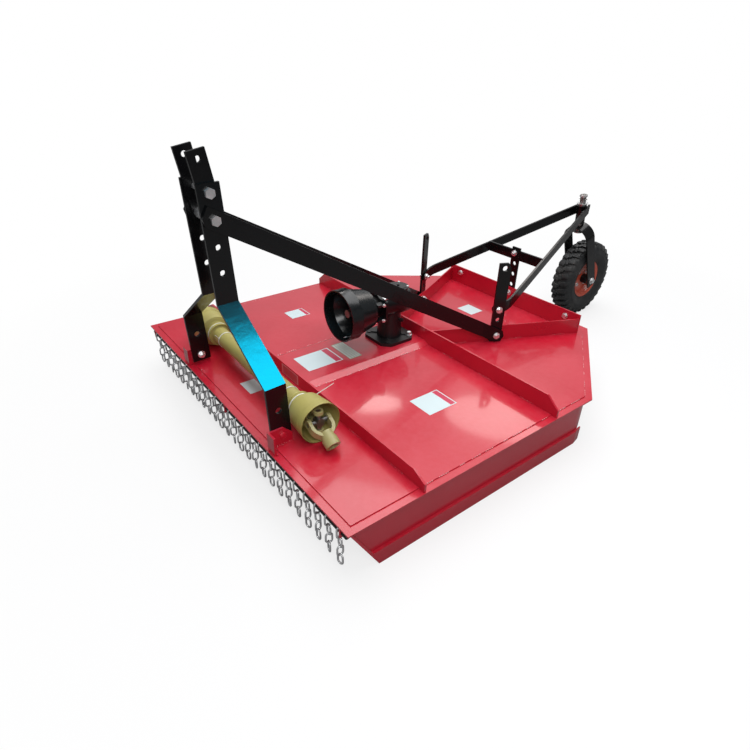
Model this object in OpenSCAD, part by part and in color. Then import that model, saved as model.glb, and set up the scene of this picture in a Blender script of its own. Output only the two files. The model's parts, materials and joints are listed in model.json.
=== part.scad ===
// Rotary slasher mower for a three-point linkage, in millimetres.
// X runs across the machine, Y runs from the linkage back to the tail wheel, Z is up.
// Inside the modules, heights are counted from the top of the deck and Y from its front edge.

/* [Deck] */
// Width of the deck
deck_w = 1620; // [1400:10:1900]
// Length of the deck along its centre line
deck_l = 1709; // [1650:1:1900]
// Length of the straight sides in front of the rear corners
side_l = 1171; // [1100:1:1200]
// Width of the rear edge between the cut corners
rear_w = 860; // [800:10:1000]
// Height of the deck's top face over the ground
deck_h = 214; // [200:1:240]
// Thickness of the deck plate
plate_t = 4; // [3:0.5:6]
// Distance from the rim of the frame to the edge of the deck plate
plate_inset = 28; // [15:1:40]
// Thickness of the flat rim under the plate
rim_t = 5; // [4:0.5:8]
// Width of the flat rim
rim_w = 70; // [60:1:90]

/* [Ribs] */
// Thickness of the cross ribs
rib_t = 8; // [6:0.5:12]
// Distance of the front rib from the front edge
front_rib_y = 288; // [270:1:300]
// Height of the front rib
front_rib_h = 54; // [40:1:70]
// Distance of the rear rib from the front edge
rear_rib_y = 947; // [940:1:960]
// Height of the rear rib
rear_rib_h = 72; // [60:1:80]
// Height of both ribs at their ends
rib_end_h = 27; // [15:1:35]
// Length of the taper at the ends of the ribs
rib_taper = 55; // [30:1:90]

/* [Channel] */
// Height of the raised channel under the gearbox
channel_h = 14; // [10:0.5:24]
// Width of the channel's flat top
channel_top_w = 250; // [230:1:280]
// Width of the channel where it meets the deck
channel_base_w = 310; // [300:1:340]

/* [Skirts] */
// Distance of the skirts from the edge of the deck
skirt_inset = 22; // [14:1:28]
// Thickness of the skirt plates
skirt_t = 4; // [3:0.5:6]
// Radius of the bend at the rear corners of the skirts
skirt_bend_r = 110; // [60:1:160]
// Height of the skid runners
skid_h = 60; // [40:1:80]
// Thickness of the skid runners' foot
skid_t = 8; // [6:0.5:12]
// Distance that the skid runners stand out past the skirts
skid_out = 10; // [4:1:14]
// Distance of the skid's nose from the front edge
skid_nose_y = 127; // [100:1:160]
// Width of the skid runners on the ground
skid_foot_w = 45; // [30:1:60]

/* [Chains] */
// Radius of the rods that carry the chains
rod_r = 10; // [8:0.5:12]
// Distance between the chain strands
strand_pitch = 60; // [50:1:80]
// Thickness of the link wire
wire_d = 7; // [6:0.5:8]
// Outer length of a link
link_l = 44; // [40:1:50]
// Outer width of a link
link_w = 28; // [24:1:32]
// Height of the rods' axis under the top of the deck
rod_drop = 30; // [26:1:34]
// Distance of the rods' axis from the deck edges
rod_inset = 14; // [12:1:20]

/* [Hitch] */
// Distance between the outer faces of the two legs
hitch_w = 683; // [670:1:700]
// Distance between the outer faces of the legs at the mast
mast_w = 132; // [128:1:150]
// Thickness of the legs
leg_t = 10; // [8:0.5:12]
// Width of the legs
leg_w = 75; // [65:1:80]
// Distance of the legs' centre line from the front edge at their bolts
leg_y = 60; // [58:1:70]
// Forward lean of the legs in degrees
leg_lean = 2.6; // [0:0.1:5]
// Height of the lower bend of the legs over the deck
leg_bend_low = 224; // [210:1:240]
// Height of the upper bend of the legs over the deck
leg_bend_high = 415; // [400:1:440]
// Height of the top of the legs over the deck
leg_top = 804; // [790:1:820]
// Height of the leg bolts over the deck
leg_bolt_z = 38; // [36:1:42]
// Height of the hitch pin holes over the leg bolts
hitch_pin_up = 96; // [90:1:110]
// Radius of the hitch pin holes
hitch_hole_r = 11.25; // [11:0.25:14]
// Radius of the bolt holes in the frame
bolt_hole_r = 10.2; // [9.5:0.1:11]
// Height of the upper mast bolt over the leg bolts
mast_bolt_up = 738; // [725:1:740]
// Height of the brace bolt over the leg bolts
brace_bolt_up = 658; // [645:1:665]
// Length of the top link ears
ear_l = 241; // [225:1:255]
// Width of the top link ears
ear_w = 60; // [54:1:64]
// Distance between the inner faces of the ears
ear_gap = 90; // [84:1:94]
// Forward lean of the ears in degrees
ear_lean = 10; // [6:0.5:12]
// Radius of the top link pin hole
top_hole_r = 9.75; // [9.5:0.25:13]

/* [Braces] */
// Width of the long braces
brace_w = 61; // [55:1:80]
// Thickness of the braces, uprights and tail arms
bar_t = 10; // [8:0.5:12]
// Distance of the uprights from the front edge
upright_y = 1230; // [1215:1:1240]
// Height of the uprights over the deck
upright_h = 374; // [360:1:400]
// Width of the uprights
upright_w = 55; // [50:1:70]
// Height of the brace bolt on the upright
brace_foot_z = 32; // [30:1:40]

/* [Rear frame] */
// Distance of the rear flange from the front edge
rear_flange_y = 1614; // [1600:1:1630]
// Height of the rear flange
rear_flange_h = 92; // [80:1:100]
// Height of the diagonals
diagonal_h = 72; // [60:1:80]
// Thickness of the rear flange and diagonals
rear_flange_t = 6; // [5:0.5:8]
// Half distance between the diagonals where they meet the rear rib
diagonal_x = 118; // [112:1:124]

/* [Tail arms] */
// Height of the arm bolt on the upright
arm_bolt_z = 156; // [150:1:165]
// Width of the tail arms
arm_w = 46; // [42:1:60]
// Length of the arms behind their bolt that lies along the uprights
arm_front_l = 45; // [40:1:60]
// Height of the arms' middle over the deck at the caster sleeve
arm_end_z = 418; // [410:1:425]
// Distance of the caster axis from the front edge
caster_y = 2137; // [2120:1:2150]
// Height of the middle of the caster sleeve over the deck
caster_z = 395; // [385:1:405]
// Length of the caster sleeve
sleeve_l = 96; // [90:1:100]
// Outer radius of the caster sleeve
sleeve_r = 25; // [24:0.5:28]
// Radius of the caster spindle
spindle_r = 16; // [14:0.5:18]
// Running clearance of spindle, axle and shafts
run_c = 0.05; // [0.02:0.01:0.09]
// Forward lean of the caster axis in degrees
caster_lean = 6; // [0:0.5:8]
// Width of the height setting strap
strap_w = 50; // [45:1:56]
// Height of the lowest setting hole in the strap
strap_hole_z = 107; // [100:1:112]
// Pitch of the setting holes in the strap
strap_pitch = 56; // [50:1:58]
// Height of the middle of the cross bar between the arms
cross_z = 268; // [260:1:275]

/* [Tail wheel] */
// Radius of the tyre out to its lugs
tyre_r = 217; // [205:1:220]
// Width of the tyre
tyre_w = 119; // [100:1:120]
// Radius of the rim's edge
rim_r = 108; // [100:1:115]
// Distance of the wheel axle from the front edge
wheel_y = 2276; // [2265:1:2295]
// Distance between the fork legs
fork_gap = 137; // [132:1:142]
// Thickness of the fork bar
fork_t = 8; // [6:0.5:10]
// Width of the fork bar
fork_w = 66; // [50:1:76]
// Length of the straight legs of the fork
fork_leg = 285; // [275:1:290]
// Lean of the fork in degrees
fork_lean = 22; // [18:0.5:26]
// Radius of the wheel axle
axle_r = 8; // [7:0.5:9]

/* [Gearbox] */
// Offset of the gearbox from the centre line
gear_x = -45; // [-50:1:0]
// Distance of the output shaft from the front edge
gear_y = 838; // [825:1:845]
// Distance from the base bolts to the edge of the square base flange
base_edge = 27.5; // [23:0.5:32]
// Thickness of the base flange
base_t = 14; // [12:1:18]
// Distance between the base bolts
base_bolt_pitch = 130; // [124:1:136]
// Height of the input shaft over the deck
input_z = 187; // [180:1:205]
// Radius of the gearbox barrel
barrel_r = 62; // [58:1:66]
// Radius of the input and output shafts
shaft_r = 17.5; // [16:0.5:19]
// Radius of the guard bell's mouth
bell_r = 109; // [100:1:114]
// Length of the guard bell
bell_l = 163; // [150:1:180]
// Wall of the guard bell
bell_wall = 4; // [3:0.5:5]

/* [Rotor] */
// Radius from the output shaft to the blade pins
blade_pin_r = 290; // [280:1:300]
// Length of a blade from its pin to its tip
blade_l = 440; // [420:1:450]
// Width of the blades
blade_w = 76; // [70:1:80]
// Thickness of the blades
blade_t = 10; // [8:0.5:12]
// Depth of the blade carrier under the top of the deck
carrier_drop = 124; // [110:1:130]
// Thickness of the blade carrier
carrier_t = 14; // [12:1:18]

/* [Drive shaft] */
// Distance of the drive shaft's axis from the front edge
pto_y = 171; // [165:1:175]
// Radius of the guard cones at their mouths
cone_r = 76; // [70:1:78]
// Length of the guard cones
cone_l = 104; // [96:1:120]
// Distance from the centre line to the mouth of the near cone
near_mouth_x = 413; // [405:1:425]
// Distance from the centre line to the mouth of the far cone
far_mouth_x = -525; // [-540:1:-500]
// Outer radius of the near guard tube
near_tube_r = 37; // [34:0.5:40]
// Wall of the guard tubes
guard_wall = 2.5; // [2:0.1:3]
// Radius of the bearing collars of the guards
collar_r = 47; // [45:0.5:52]
// Length of the guard collars
collar_l = 42; // [36:1:50]
// Length from the joint centre to the end of a yoke
yoke_l = 102; // [96:1:110]
// Outer radius of the yoke hubs
yoke_hub_r = 27; // [25:0.5:30]
// Distance between the arms of a yoke
yoke_gap = 64; // [60:1:68]
// Thickness of the arms of a yoke
yoke_t = 12; // [10:0.5:14]
// Droop of the free yokes in degrees
yoke_droop = 29; // [24:1:30]

/* [Hidden] */
$fn = 48;
half_w = deck_w / 2;
half_rear = rear_w / 2;
ear_below = 118;
front_reach = leg_y - mast_bolt_up * sin(leg_lean) - ear_w / 2 * cos(ear_lean)
    - (ear_l - ear_below) * sin(ear_lean);
back_reach = wheel_y + tyre_r;
mid_y = (front_reach + back_reach) / 2;
// Clearance between a hole and the bolt in it, and between curved pieces that lie on each other
hole_c = 0.3;
bolt_r = bolt_hole_r - hole_c;
deck_bottom = -plate_t - rim_t;
red = "crimson";
black = "#151515";
zinc = "silver";
olive = "#a8a060";

// Outline of the deck, moved in by a distance
corner_dx = half_w - half_rear;
corner_dy = deck_l - side_l;
corner_len = sqrt(corner_dx * corner_dx + corner_dy * corner_dy);
normal_x = corner_dy / corner_len;
normal_y = corner_dx / corner_len;
corner_c = normal_x * half_w + normal_y * side_l;
function side_end(i) = (corner_c - i - normal_x * (half_w - i)) / normal_y;
function rear_end(i) = (corner_c - i - normal_y * (deck_l - i)) / normal_x;
function outline(i) = [[-half_w + i, i], [half_w - i, i], [half_w - i, side_end(i)],
    [rear_end(i), deck_l - i], [-rear_end(i), deck_l - i], [-half_w + i, side_end(i)]];

// Everything is modelled from the deck's front edge and top face, then stood on the ground
module on_ground() {
    translate([0, -mid_y, deck_h])
        children();
}

// Points set off to the left of a path by a distance, and a band t wide around a path
function unit(v) = v / norm(v);
function turned(v) = [-v[1], v[0]];
function backwards(p) = [for (i = [len(p) - 1 : -1 : 0]) p[i]];
function band_side(p, h) = [for (i = [0 : len(p) - 1])
    let (a = unit(i == 0 ? p[1] - p[0] : p[i] - p[i - 1]),
        b = unit(i == len(p) - 1 ? p[i] - p[i - 1] : p[i + 1] - p[i]),
        m = turned(unit(a + b)))
    p[i] + m * h / (m * turned(b))];
function band(p, t) = concat(band_side(p, t / 2), backwards(band_side(p, -t / 2)));

// The point u further along direction d and v to its left
function along(p, d, u, v) = p + d * u + turned(d) * v;

// A plain round rod along X or Y, centred on the origin
module rod_x(r, l) {
    rotate([0, 90, 0])
        cylinder(r = r, h = l, center = true);
}

module rod_y(r, l) {
    rotate([90, 0, 0])
        cylinder(r = r, h = l, center = true);
}

// A flat shape drawn in X and Z, made w thick along Y and centred there
module slab_y(w) {
    rotate([90, 0, 0])
        translate([0, 0, -w / 2])
            linear_extrude(w)
                children();
}

// A flat shape drawn in Y and Z, made t thick along X, from x = 0
module slab_x(t) {
    rotate([90, 0, 90])
        linear_extrude(t)
            children();
}

// Copies on the side given by its sign, 1 on the left of the machine and -1 on its right
module on_side(s) {
    if (s > 0) {
        children();
    } else {
        mirror([1, 0, 0])
            children();
    }
}

module deck_plate() {
    color(red) on_ground()
        translate([0, 0, -plate_t])
            difference() {
                linear_extrude(plate_t)
                    polygon(outline(plate_inset));
                translate([gear_x, gear_y, -1])
                    cylinder(r = shaft_r + 12, h = plate_t + 2);
            }
}

module deck_rim() {
    color(red) on_ground()
        translate([0, 0, deck_bottom])
            linear_extrude(rim_t)
                difference() {
                    polygon(outline(0));
                    polygon(outline(rim_w));
                }
}

// A rib stands across the deck and tapers down at both ends
module rib(y, h) {
    e = half_w - 5;
    translate([0, y + rib_t / 2, 0])
        slab_y(rib_t)
            polygon([[-e, -plate_t], [-half_w + plate_inset, -plate_t], [-half_w + plate_inset, 0],
                [half_w - plate_inset, 0], [half_w - plate_inset, -plate_t], [e, -plate_t],
                [e, rib_end_h], [e - rib_taper, h], [rib_taper - e, h], [-e, rib_end_h]]);
}

module front_rib() {
    color(red) on_ground() rib(front_rib_y, front_rib_h);
}

module rear_rib() {
    color(red) on_ground() rib(rear_rib_y, rear_rib_h);
}

module gearbox_channel() {
    l = rear_rib_y - front_rib_y - rib_t;
    color(red) on_ground()
        difference() {
            translate([gear_x, front_rib_y + rib_t + l / 2, 0])
                slab_y(l)
                    polygon([[-channel_base_w / 2, 0], [channel_base_w / 2, 0],
                        [channel_top_w / 2, channel_h], [-channel_top_w / 2, channel_h]]);
            translate([gear_x, gear_y, -1])
                cylinder(r = shaft_r + 12, h = channel_h + 2);
        }
}

// The path of a skirt in plan: down the side, round a bend and along the cut corner
bend_steps = 6;
bend_turn = atan2(corner_dx, corner_dy);
function bend_start(i) = side_end(i) - skirt_bend_r * tan(bend_turn / 2);
function skirt_path(i, y0) = concat([[half_w - i, y0]],
    [for (k = [0 : bend_steps]) let (a = bend_turn * k / bend_steps)
        [half_w - i - skirt_bend_r * (1 - cos(a)), bend_start(i) + skirt_bend_r * sin(a)]],
    [[rear_end(i) + normal_y * 2, deck_l - i - normal_x * 2]]);
function skirt_band(i, t, y0) = concat(skirt_path(i, y0), backwards(band_side(skirt_path(i, y0), t)));
skirt_drop = deck_h - skid_h;

// The slanted front edge of the skirts, drawn in Y and Z
slope_run = skid_nose_y - 8;
slope_fall = deck_h + deck_bottom;
module front_slope(grow) {
    polygon([[8 + grow, deck_bottom + 1], [skid_nose_y + grow, -deck_h], [skid_nose_y + grow, -deck_h - 1],
        [deck_l + 50, -deck_h - 1], [deck_l + 50, deck_bottom + 1]]);
}

module skirt(s) {
    color(red) on_ground() on_side(s)
        intersection() {
            translate([0, 0, -skirt_drop])
                linear_extrude(skirt_drop + deck_bottom)
                    polygon(skirt_band(skirt_inset, skirt_t, 0));
            slab_x(half_w)
                front_slope(skid_t);
        }
}

module skirt_left() { skirt(1); }
module skirt_right() { skirt(-1); }

// The skid is an angle along the skirt's foot, with a strip up the slanted front
module skid(s) {
    out = half_w - skirt_inset + skid_out;
    back = side_end(skirt_inset);
    color(red) on_ground() on_side(s)
        difference() {
            union() {
                intersection() {
                    translate([0, 0, -deck_h])
                        linear_extrude(skid_h)
                            polygon([[out, 0], [out, back - skirt_bend_r / 4], [out - skid_out, back + 16],
                                [out - skid_foot_w, back + 16], [out - skid_foot_w, 0]]);
                    slab_x(half_w)
                        front_slope(0);
                }
                translate([out - skid_t, 0, 0])
                    slab_x(skid_t)
                        polygon([[8, deck_bottom], [8 + skid_t, deck_bottom],
                            [skid_nose_y + skid_t, -deck_h + skid_t], [skid_nose_y, -deck_h]]);
            }
            translate([out - skid_out - skirt_t - skid_foot_w, skid_nose_y + skid_t, -deck_h + skid_t])
                cube([skid_foot_w, deck_l, skid_h]);
        }
}

module skid_left() { skid(1); }
module skid_right() { skid(-1); }

// Red lugs under the deck that carry the chain rods
front_rod_len = 2 * (half_w - skirt_inset + skid_out - skid_t - 1);
rear_rod_len = rear_w - 60;
rear_rod_y = deck_l - rod_inset;
lug_t = 6;
lug_in = 45;
module rod_lug(x, y) {
    translate([x - lug_t / 2, y, 0])
        difference() {
            translate([0, -13, -rod_drop - 16])
                cube([lug_t, 26 + rod_inset, rod_drop + 16 + deck_bottom]);
            translate([lug_t / 2, 0, -rod_drop])
                rod_x(rod_r + hole_c, lug_t + 2);
        }
}

module rod_lugs() {
    color(red) on_ground() {
        for (x = [-1, 0, 1] * (half_w - lug_in))
            rod_lug(x, rod_inset);
        for (x = [-1, 0, 1] * (half_rear - lug_in))
            mirror([0, 1, 0])
                rod_lug(x, -rear_rod_y);
    }
}

// A link is an outer ring with flat sides around a slot; every second one is turned side on
links = 4;
link_pitch = link_l - wire_d;
module link() {
    slab_y(wire_d)
        difference() {
            polygon([[-link_w / 2, -link_l / 4], [-link_w / 4, -link_l / 2], [link_w / 4, -link_l / 2],
                [link_w / 2, -link_l / 4], [link_w / 2, link_l / 4], [link_w / 4, link_l / 2],
                [-link_w / 4, link_l / 2], [-link_w / 2, link_l / 4]]);
            square([link_w - 2 * wire_d, link_l - 2 * wire_d], center = true);
        }
}

module strand() {
    for (k = [0 : links - 1])
        translate([0, 0, -rod_r - link_l / 2 + wire_d / 2 - k * (link_pitch - wire_d / 2)])
            if (k % 2 == 0) {
                rotate([0, 0, 90]) link();
            } else {
                cube([link_w, wire_d, link_l - wire_d], center = true);
            }
}

module chain_rod(l, count) {
    rod_x(rod_r, l);
    for (k = [0 : count - 1])
        translate([(k - (count - 1) / 2) * strand_pitch, 0, 0])
            strand();
}

module front_chains() {
    color(zinc) on_ground()
        translate([0, rod_inset, -rod_drop])
            chain_rod(front_rod_len, floor((front_rod_len - 15) / strand_pitch));
}

module rear_chains() {
    color(zinc) on_ground()
        translate([0, rear_rod_y, -rod_drop])
            chain_rod(rear_rod_len, floor((rear_rod_len - 2 * strand_pitch / 3) / strand_pitch));
}

// Hitch lugs: a standing web behind each leg with an outward flange on the front edge
leg_in = hitch_w / 2 - leg_t;
web_t = 8;
lug_h = 66;
lug_l = 96;
flange_w = 45;
module hitch_lugs() {
    color(red) on_ground()
        for (s = [-1, 1]) on_side(s)
            translate([hitch_w / 2, 0, 0])
                difference() {
                    union() {
                        slab_x(web_t)
                            polygon([[6, -plate_t], [plate_inset, -plate_t], [plate_inset, 0], [lug_l, 0],
                                [lug_l, lug_h * 0.55], [lug_l - 32, lug_h], [6, lug_h]]);
                        translate([0, 6, -plate_t])
                            cube([flange_w, web_t, lug_h + plate_t]);
                    }
                    translate([0, leg_y, leg_bolt_z])
                        rod_x(bolt_hole_r, 40);
                }
}

// The path of a leg in X and Z: up from the lug, in along the slope and up the mast
mast_x = mast_w / 2 - leg_t / 2;
foot_x = hitch_w / 2 - leg_t / 2;
leg_half = leg_t / 2;
slope_ang = atan2(leg_bend_high - leg_bend_low, foot_x - mast_x);
miter = leg_half * tan((90 - slope_ang) / 2);
foot_h = 26;
module leg_profile() {
    low = leg_bend_low - leg_bolt_z;
    high = leg_bend_high - leg_bolt_z;
    top = leg_top - leg_bolt_z;
    polygon([[foot_x - leg_half, -foot_h], [foot_x + leg_half, -foot_h], [foot_x + leg_half, low + miter],
        [mast_x + leg_half, high + miter], [mast_x + leg_half, top], [mast_x - leg_half, top],
        [mast_x - leg_half, high - miter], [foot_x - leg_half, low - miter]]);
}

// Heights of the open holes in the mast over the leg bolts
mast_holes = [485, 570];
module hitch_leg(s) {
    color(black) on_ground() on_side(s)
        translate([0, leg_y, leg_bolt_z])
            rotate([leg_lean, 0, 0])
                difference() {
                    slab_y(leg_w)
                        leg_profile();
                    translate([foot_x, 0, 0])
                        rod_x(bolt_hole_r, 3 * leg_t);
                    translate([foot_x, 0, hitch_pin_up])
                        rod_x(hitch_hole_r, 3 * leg_t);
                    for (h = concat(mast_holes, [brace_bolt_up, mast_bolt_up]))
                        translate([mast_x, 0, h])
                            rod_x(bolt_hole_r, 3 * leg_t);
                }
}

module hitch_leg_left() { hitch_leg(1); }
module hitch_leg_right() { hitch_leg(-1); }

// Two ears inside the mast take the top link's pin
ear_t = mast_w / 2 - leg_t - ear_gap / 2;
ear_hole_up = ear_l - ear_below - 27;
bolt_drop = mast_bolt_up - brace_bolt_up;
ear_turn = ear_lean - leg_lean;
module top_link_ears() {
    color(black) on_ground()
        translate([0, leg_y, leg_bolt_z])
            rotate([leg_lean, 0, 0])
                translate([0, 0, mast_bolt_up])
                    for (s = [-1, 1]) on_side(s)
                        difference() {
                            rotate([ear_turn, 0, 0])
                                translate([ear_gap / 2, -ear_w / 2, -ear_below])
                                    cube([ear_t, ear_w, ear_l]);
                            translate([ear_gap / 2, 0, 0])
                                rod_x(bolt_hole_r, 40);
                            translate([ear_gap / 2, 0, -bolt_drop])
                                rod_x(bolt_hole_r, 40);
                            rotate([ear_turn, 0, 0])
                                translate([ear_gap / 2, 0, ear_hole_up])
                                    rod_x(top_hole_r, 40);
                        }
}

// A bolt along X with a hexagon head outside and a nut at its other end
head_r = 17;
head_h = 12;
module bolt_x(l, r) {
    rod_x(r, l);
    for (s = [-1, 1])
        translate([s * (l + head_h) / 2, 0, 0])
            rotate([0, 90, 0])
                cylinder(r = head_r, h = head_h, center = true, $fn = 6);
}

module mast_bolts() {
    color(zinc) on_ground()
        translate([0, leg_y, leg_bolt_z])
            rotate([leg_lean, 0, 0]) {
                translate([0, 0, mast_bolt_up])
                    bolt_x(mast_w, bolt_r);
                translate([0, 0, brace_bolt_up]) {
                    bolt_x(mast_w + 2 * bar_t, bolt_r);
                    rod_x(bolt_r + 8, ear_gap - 1);
                }
            }
}

// The rear frame's diagonals set the direction of the uprights
rear_frame_y0 = rear_rib_y + rib_t;
diag_rear_x = half_rear + 2;
diag_dx = diag_rear_x - diagonal_x;
diag_dy = rear_flange_y + rear_flange_t - rear_frame_y0;
diag_ang = atan2(diag_dx, diag_dy);
upright_x = diagonal_x + (upright_y - rear_frame_y0) * tan(diag_ang);
function from_upright(u, v) = [upright_x + u * cos(diag_ang) + v * sin(diag_ang),
    upright_y - u * sin(diag_ang) + v * cos(diag_ang)];
module at_upright() {
    translate([upright_x, upright_y, 0])
        rotate([0, 0, -diag_ang])
            children();
}

// A brace is a flat bar: level with the leg at the mast, then down and out to the upright's foot
mast_brace_y = leg_y - brace_bolt_up * sin(leg_lean);
mast_brace_z = leg_bolt_z + brace_bolt_up * cos(leg_lean);
brace_x0 = mast_w / 2 + bar_t / 2;
brace_foot = from_upright(1.5 * bar_t, 0);
brace_path = [[brace_x0, mast_brace_y - 80], [brace_x0, mast_brace_y + 45], from_upright(1.5 * bar_t, -70),
    from_upright(1.5 * bar_t, 80)];
brace_top = [mast_brace_y, mast_brace_z];
brace_low = [brace_foot[1], brace_foot_z];
brace_dir = unit(brace_low - brace_top);
module brace(s) {
    h = brace_w / 2;
    color(black) on_ground() on_side(s)
        difference() {
            intersection() {
                translate([0, 0, 3])
                    linear_extrude(leg_top)
                        polygon(band(brace_path, bar_t));
                slab_x(half_w)
                    polygon([along(brace_top, brace_dir, -38, h), along(brace_low, brace_dir, 10, h),
                        along(brace_low, brace_dir, 30, h - 20), along(brace_low, brace_dir, 30, -h),
                        along(brace_top, brace_dir, -20, -h), along(brace_top, brace_dir, -38, 18 - h)]);
            }
            translate([brace_x0, mast_brace_y, mast_brace_z])
                rod_x(bolt_hole_r, 60);
            at_upright()
                translate([1.5 * bar_t, 0, brace_foot_z])
                    rod_x(bolt_hole_r, 60);
        }
}

module brace_left() { brace(1); }
module brace_right() { brace(-1); }

// The uprights stand outside the diagonals and carry the tail arms and the braces
spare_hole_z = 107;
top_hole_z = 350;
module uprights() {
    color(black) on_ground()
        for (s = [-1, 1]) on_side(s)
            at_upright()
                difference() {
                    slab_x(bar_t)
                        polygon([[-upright_w / 2, 0], [upright_w / 2, 0], [upright_w / 2, upright_h - 22],
                            [upright_w / 2 - 14, upright_h], [-upright_w / 2, upright_h]]);
                    for (h = [brace_foot_z, spare_hole_z, arm_bolt_z])
                        translate([0, 0, h])
                            rod_x(bolt_hole_r, 60);
                    translate([0, 0, top_hole_z])
                        rod_x(bolt_hole_r + 2, 60);
                }
}

// The rear frame: a standing flange across the back and two diagonals forward to the rear rib
rear_bolts = [-352, 0, 352];
rear_bolt_z = 61;
module rear_frame() {
    color(red) on_ground()
        difference() {
            union() {
                translate([-diag_rear_x, rear_flange_y, 0])
                    cube([2 * diag_rear_x, rear_flange_t, rear_flange_h]);
                linear_extrude(diagonal_h)
                    for (s = [-1, 1])
                        polygon([[s * diagonal_x, rear_frame_y0],
                            [s * diag_rear_x, rear_flange_y + rear_flange_t],
                            [s * (diag_rear_x - rear_flange_t / cos(diag_ang)),
                                rear_flange_y + rear_flange_t],
                            [s * (diagonal_x - rear_flange_t / cos(diag_ang)), rear_frame_y0]]);
            }
            for (x = rear_bolts)
                translate([x, rear_flange_y, rear_bolt_z])
                    rod_y(bolt_hole_r, 40);
            for (s = [-1, 1]) on_side(s)
                at_upright()
                    translate([0, 0, brace_foot_z])
                        rod_x(bolt_hole_r, 60);
        }
}

// The tail arms rise from the uprights and close in on the sides of the caster sleeve
arm_r = sleeve_r + 0.1 + bar_t / 2;
arm_bolt = from_upright(-bar_t / 2, 0);
arm_bend = from_upright(-bar_t / 2, arm_front_l);
arm_reach = norm(arm_bend - [0, caster_y]);
arm_in = atan2(arm_bend[0], caster_y - arm_bend[1]) - asin(arm_r / arm_reach);
arm_past = 18;
arm_back = arm_bend + (sqrt(arm_reach * arm_reach - arm_r * arm_r) + arm_past) * [-sin(arm_in), cos(arm_in)];
arm_low = [arm_bolt[1], arm_bolt_z];
arm_dir = unit([caster_y, arm_end_z] - arm_low);
arm_front = from_upright(-bar_t / 2, -60);
bend_l = 38;
bend_in = arm_bend - bend_l * unit(arm_bend - arm_front);
bend_out = arm_bend + bend_l * unit(arm_back - arm_bend);
arm_curve = [for (k = [0 : 6]) let (t = k / 6)
    (1 - t) * (1 - t) * bend_in + 2 * t * (1 - t) * arm_bend + t * t * bend_out];
module tail_arms() {
    h = arm_w / 2;
    color(black) on_ground()
        for (s = [-1, 1]) on_side(s)
            difference() {
                intersection() {
                    linear_extrude(2 * arm_end_z)
                        polygon(band(concat([arm_front], arm_curve, [arm_back]), bar_t));
                    slab_x(half_w)
                        polygon(concat(
                            [along(arm_low, arm_dir, deck_l, -h), along(arm_low, arm_dir, deck_l, h)],
                            [for (a = [90 : 15 : 270]) along(arm_low, arm_dir, h * cos(a), h * sin(a))]));
                }
                at_upright()
                    translate([0, 0, arm_bolt_z])
                        rod_x(bolt_hole_r, 60);
                caster_place()
                    cylinder(r = sleeve_r + 0.1, h = 2 * sleeve_l, center = true);
            }
}

// A cross bar ties the arms above the rear flange and takes the setting strap
cross_y = rear_flange_y + rear_flange_t - bar_t;
cross_h = 48;
function arm_inner(y) = arm_bend[0] - bar_t / 2 / cos(arm_in) - (y - arm_bend[1]) * tan(arm_in) - 0.1;
strap_top_z = strap_hole_z + 3 * strap_pitch;
module tail_cross_bar() {
    w0 = arm_inner(cross_y);
    w1 = arm_inner(cross_y + bar_t);
    color(black) on_ground()
        difference() {
            translate([0, 0, cross_z - cross_h / 2])
                linear_extrude(cross_h)
                    polygon([[-w0, cross_y], [w0, cross_y], [w1, cross_y + bar_t], [-w1, cross_y + bar_t]]);
            translate([0, cross_y, strap_top_z])
                rod_y(bolt_hole_r, 60);
        }
}

strap_t = 8;
module setting_strap() {
    color(black) on_ground()
        translate([0, cross_y + bar_t + strap_t / 2, 0])
            difference() {
                slab_y(strap_t)
                    polygon([[-strap_w / 2, 48], [-strap_w / 2 + 12, 36], [strap_w / 2 - 12, 36],
                        [strap_w / 2, 48], [strap_w / 2, strap_top_z + 27],
                        [-strap_w / 2, strap_top_z + 27]]);
                for (h = concat([rear_bolt_z], [for (k = [0 : 3]) strap_hole_z + k * strap_pitch]))
                    translate([0, 0, h])
                        rod_y(bolt_hole_r, 40);
            }
}

// The caster: a leaning sleeve on the arms, a spindle in it and a fork around the wheel
module caster_place() {
    translate([0, caster_y, caster_z])
        rotate([caster_lean, 0, 0])
            children();
}

module caster_sleeve() {
    color(black) on_ground()
        caster_place()
            difference() {
                cylinder(r = sleeve_r, h = sleeve_l, center = true);
                cylinder(r = spindle_r + run_c, h = sleeve_l + 2, center = true);
            }
}

spindle_up = 104;
spindle_down = 100;
collar_h = 10;
module caster_spindle() {
    color(black) on_ground()
        caster_place() {
            translate([0, 0, -spindle_down])
                cylinder(r = spindle_r, h = spindle_up + spindle_down);
            translate([0, 0, sleeve_l / 2 + 0.5])
                cylinder(r = sleeve_r - 2, h = collar_h);
            translate([0, 0, spindle_up - 8])
                cylinder(r = spindle_r + 3, h = 10);
            translate([0, 0, -spindle_down])
                cylinder(r = sleeve_r - 1, h = 8);
        }
}

module fork_place() {
    translate([0, wheel_y, tyre_r - deck_h])
        rotate([fork_lean, 0, 0])
            children();
}

fork_half = fork_gap / 2;
module caster_fork() {
    color(black) on_ground()
        difference() {
            fork_place()
                difference() {
                    slab_y(fork_w)
                        difference() {
                            union() {
                                translate([-fork_half - fork_t, -fork_w / 2])
                                    square([2 * (fork_half + fork_t), fork_leg + fork_w / 2]);
                                translate([0, fork_leg])
                                    circle(r = fork_half + fork_t);
                            }
                            translate([-fork_half, -fork_w])
                                square([2 * fork_half, fork_leg + fork_w]);
                            translate([0, fork_leg])
                                circle(r = fork_half);
                        }
                    rod_x(axle_r + hole_c, 2 * fork_gap);
                }
            caster_place()
                translate([0, 0, -spindle_down])
                    cylinder(r = spindle_r + hole_c, h = spindle_down);
        }
}

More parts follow.
